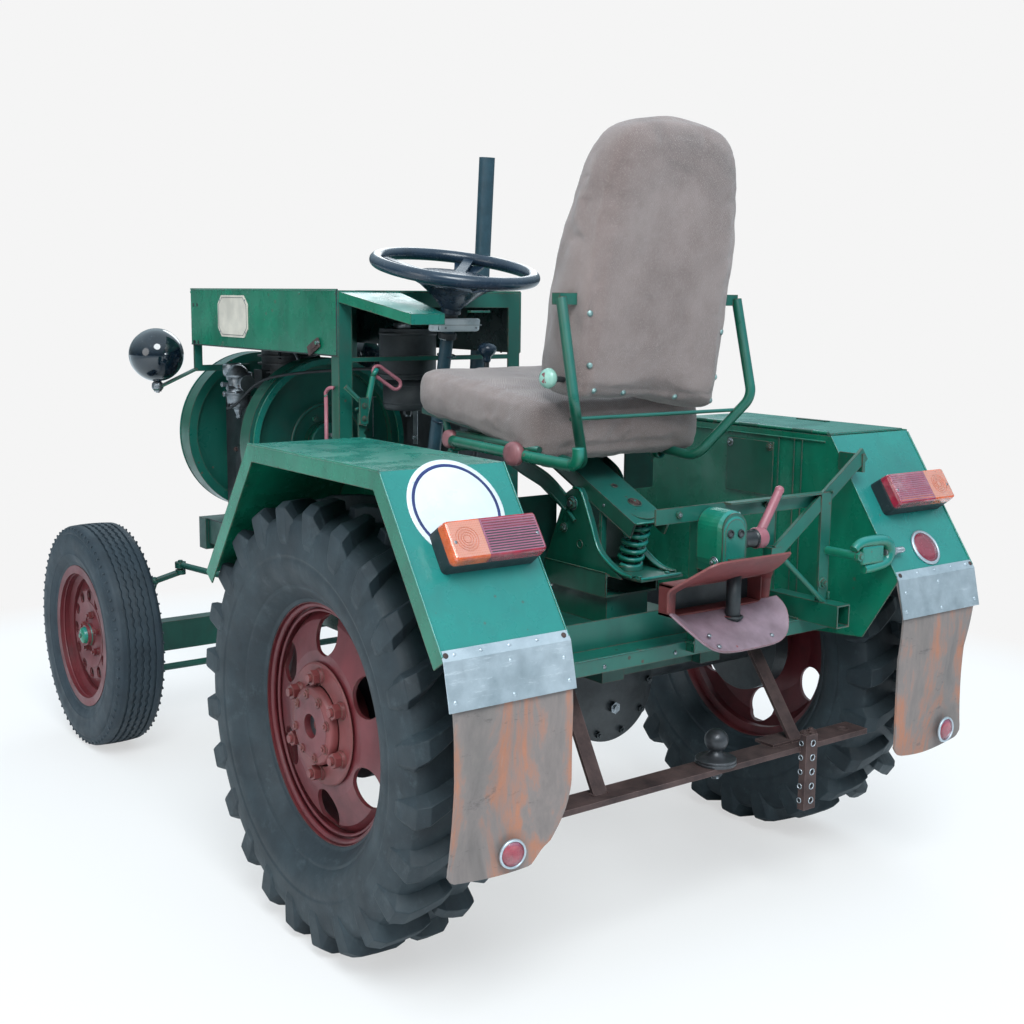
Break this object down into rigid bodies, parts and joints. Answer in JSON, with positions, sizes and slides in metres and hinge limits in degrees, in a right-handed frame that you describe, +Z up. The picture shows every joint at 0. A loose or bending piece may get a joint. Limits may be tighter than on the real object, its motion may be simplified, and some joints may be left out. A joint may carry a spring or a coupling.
{
  "type": "homemade tractor",
  "caption": "Small homemade farm tractor with twin open flywheels, sprung fabric seat, angular fenders, mudflaps, tow bar with ball and a rear trailer coupling.",
  "frame": {"origin": "on the ground, at the bottom centre of the bounding box", "axes": "+X to the tractor's left, +Y to its back, +Z up"},
  "size_m": [1.46, 2.43, 1.7155],
  "materials": {
    "green_paint": "semi-gloss, chipped",
    "dark_green_paint": "dull, dirty",
    "green_spring": "semi-gloss",
    "dark_iron": "oily",
    "dark_pipe": "matt",
    "wheel_red": "worn, semi-gloss",
    "jaw_red": "faded",
    "tyre_rubber": "worn",
    "black_plastic": "satin",
    "lamp_black": "gloss",
    "lens_red": "gloss",
    "seat_fabric": "coarse weave",
    "sheet_aluminium": "brushed, dull",
    "flap_rubber": "worn",
    "rusty_steel": "rusty"
  },
  "bodies": {
    "chassis": {"frame_rails": "dark_green_paint", "rear_axle": "dark_iron", "front_axle_beam": "dark_green_paint", "engine_block": "dark_iron", "engine_cylinder": "dark_iron", "carburettor": "dark_iron", "battery_box": "dark_iron", "gearbox": "dark_iron", "fuel_tank": "dark_iron", "exhaust_pipe": "dark_pipe", "hood": "green_paint", "hood_frame": "green_paint", "dash_shelf": "green_paint", "headlamps": "lamp_black", "fender_left": "green_paint", "fender_right": "green_paint", "tail_lamps": "lens_red", "flap_plates": "sheet_aluminium", "mudflaps": "flap_rubber", "footboards": "green_paint", "steering_column": "dark_pipe", "hand_levers": "dark_green_paint", "seat_cushion": "seat_fabric", "seat_pan": "green_paint", "seat_backrest": "seat_fabric", "seat_arms": "green_paint", "seat_swing_arm": "green_paint", "seat_spring": "green_spring", "seat_base": "green_paint", "rear_cross_channel": "green_paint", "tow_bar": "rusty_steel", "tow_ball": "rusty_steel", "trailer_coupling": "green_paint", "coupling_jaw": "jaw_red", "carrier_frame": "green_paint", "screw_clamp": "dark_green_paint"},
    "rear_wheel_left": {"rear_tyre_left": "tyre_rubber", "rear_rim_left": "wheel_red"},
    "rear_wheel_right": {"rear_tyre_right": "tyre_rubber", "rear_rim_right": "wheel_red"},
    "steering_knuckle_left": {"knuckle_left": "dark_green_paint"},
    "steering_knuckle_right": {"knuckle_right": "dark_green_paint"},
    "front_wheel_left": {"front_tyre_left": "tyre_rubber", "front_rim_left": "wheel_red"},
    "front_wheel_right": {"front_tyre_right": "tyre_rubber", "front_rim_right": "wheel_red"},
    "steering_track_rod": {"track_rod": "dark_green_paint"},
    "steering_drag_link": {"drag_link": "dark_green_paint"},
    "steering_pitman": {"pitman_arm": "dark_green_paint"},
    "steering_hand_wheel": {"steering_wheel": "black_plastic"},
    "crankshaft": {"flywheels": "dark_green_paint"},
    "fender_box_lid": {"box_lid": "green_paint"}
  },
  "joints": [
    {"name": "rear_wheel_left_turn", "type": "hinge", "parent": "chassis", "child": "rear_wheel_left", "pos_m": [0.615, 0.633, 0.465], "axis": [1, 0, 0], "continuous": true},
    {"name": "rear_wheel_right_turn", "type": "hinge", "parent": "chassis", "child": "rear_wheel_right", "pos_m": [-0.615, 0.633, 0.465], "axis": [1, 0, 0], "continuous": true},
    {"name": "steering_wheel_turn", "type": "hinge", "parent": "chassis", "child": "steering_hand_wheel", "pos_m": [0, 0.133, 1.4], "axis": [0, 0.1994, 0.9799], "range_deg": [-450, 450]},
    {"name": "knuckle_left_steer", "type": "hinge", "parent": "chassis", "child": "steering_knuckle_left", "pos_m": [0.525, -0.887, 0.295], "axis": [0, 0, 1], "range_deg": [-30.5, 30.5]},
    {"name": "knuckle_right_steer", "type": "hinge", "parent": "chassis", "child": "steering_knuckle_right", "pos_m": [-0.525, -0.887, 0.295], "axis": [0, 0, 1], "range_deg": [-30.5, 30.5]},
    {"name": "front_wheel_left_turn", "type": "hinge", "parent": "steering_knuckle_left", "child": "front_wheel_left", "pos_m": [0.577, -0.887, 0.328], "axis": [1, 0, 0], "continuous": true},
    {"name": "front_wheel_right_turn", "type": "hinge", "parent": "steering_knuckle_right", "child": "front_wheel_right", "pos_m": [-0.577, -0.887, 0.328], "axis": [1, 0, 0], "continuous": true},
    {"name": "track_rod_swing", "type": "hinge", "parent": "steering_knuckle_left", "child": "steering_track_rod", "pos_m": [0.525, -0.777, 0.245], "axis": [0, 0, 1], "range_deg": [-30.5, 30.5]},
    {"name": "drag_link_swing", "type": "hinge", "parent": "steering_knuckle_left", "child": "steering_drag_link", "pos_m": [0.375, -0.762, 0.533], "axis": [0, 0, 1], "range_deg": [-36.5, 36.5]},
    {"name": "pitman_swing", "type": "hinge", "parent": "chassis", "child": "steering_pitman", "pos_m": [0.258, -0.057, 0.672], "axis": [1, 0, 0], "range_deg": [-38, 38]},
    {"name": "crankshaft_turn", "type": "hinge", "parent": "chassis", "child": "crankshaft", "pos_m": [0, -0.783, 0.897], "axis": [0, 1, 0], "continuous": true},
    {"name": "box_lid_open", "type": "hinge", "parent": "chassis", "child": "fender_box_lid", "pos_m": [-0.466, 0.714, 1.031], "axis": [0, 1, 0], "range_deg": [0, 100]}
  ],
  "couplings": [
    {"joint": "knuckle_left_steer", "follows": "steering_wheel_turn", "ratio": 0.066667},
    {"joint": "knuckle_right_steer", "follows": "steering_wheel_turn", "ratio": 0.066667},
    {"joint": "track_rod_swing", "follows": "steering_wheel_turn", "ratio": -0.066667},
    {"joint": "drag_link_swing", "follows": "steering_wheel_turn", "ratio": -0.078487},
    {"joint": "pitman_swing", "follows": "steering_wheel_turn", "ratio": -0.081967}
  ]
}
